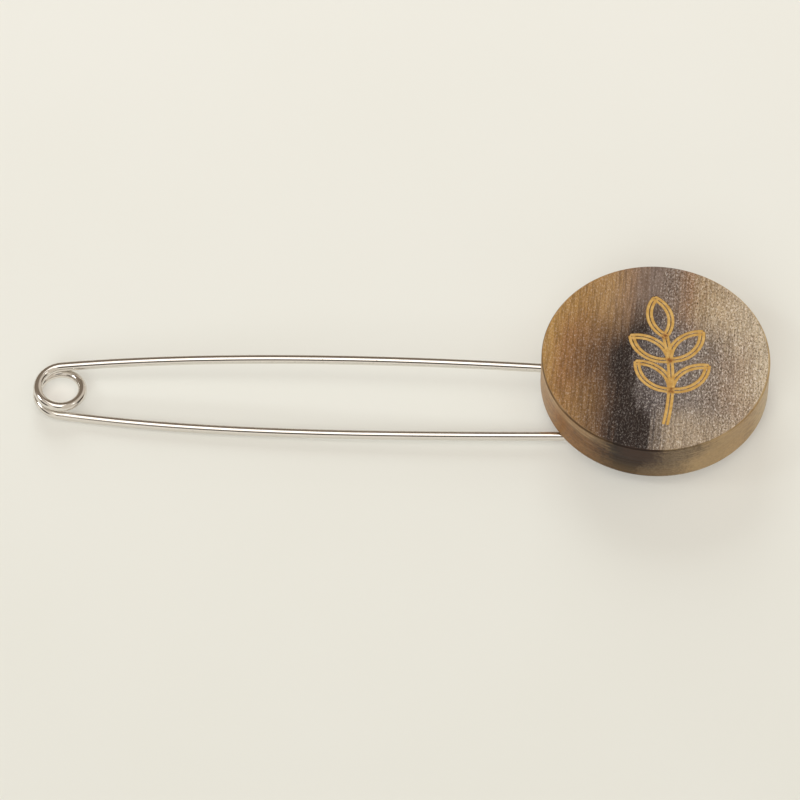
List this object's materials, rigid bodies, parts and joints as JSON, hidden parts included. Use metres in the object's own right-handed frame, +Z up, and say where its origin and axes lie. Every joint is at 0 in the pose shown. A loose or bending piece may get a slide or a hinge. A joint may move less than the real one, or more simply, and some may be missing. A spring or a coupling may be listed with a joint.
{
  "type": "shawl pin",
  "caption": "Shawl pin: a round horn disc with an engraved gold sprig on the end of a long sprung wire pin with a coiled eye.",
  "frame": {"origin": "on the surface that the pin lies on, straight below the centre of the disc, in the middle of the catch bar's underside", "axes": "+X along the pin from the coil to the disc, +Z up out of the disc's engraved face, +Y towards the fixed leg's side"},
  "size_m": [0.0968, 0.03, 0.0078],
  "materials": {
    "horn": "satin sanded horn, streaked amber, olive, dark brown and grey",
    "gold_filler": "soft gold-coloured filler in the engraved line",
    "bright_wire": "bright plated spring steel",
    "catch_metal": "plain brushed steel"
  },
  "bodies": {
    "root": {"horn_disc": "horn", "gold_inlay": "gold_filler", "pin_wire": "bright_wire", "catch_bar": "catch_metal"}
  },
  "joints": []
}
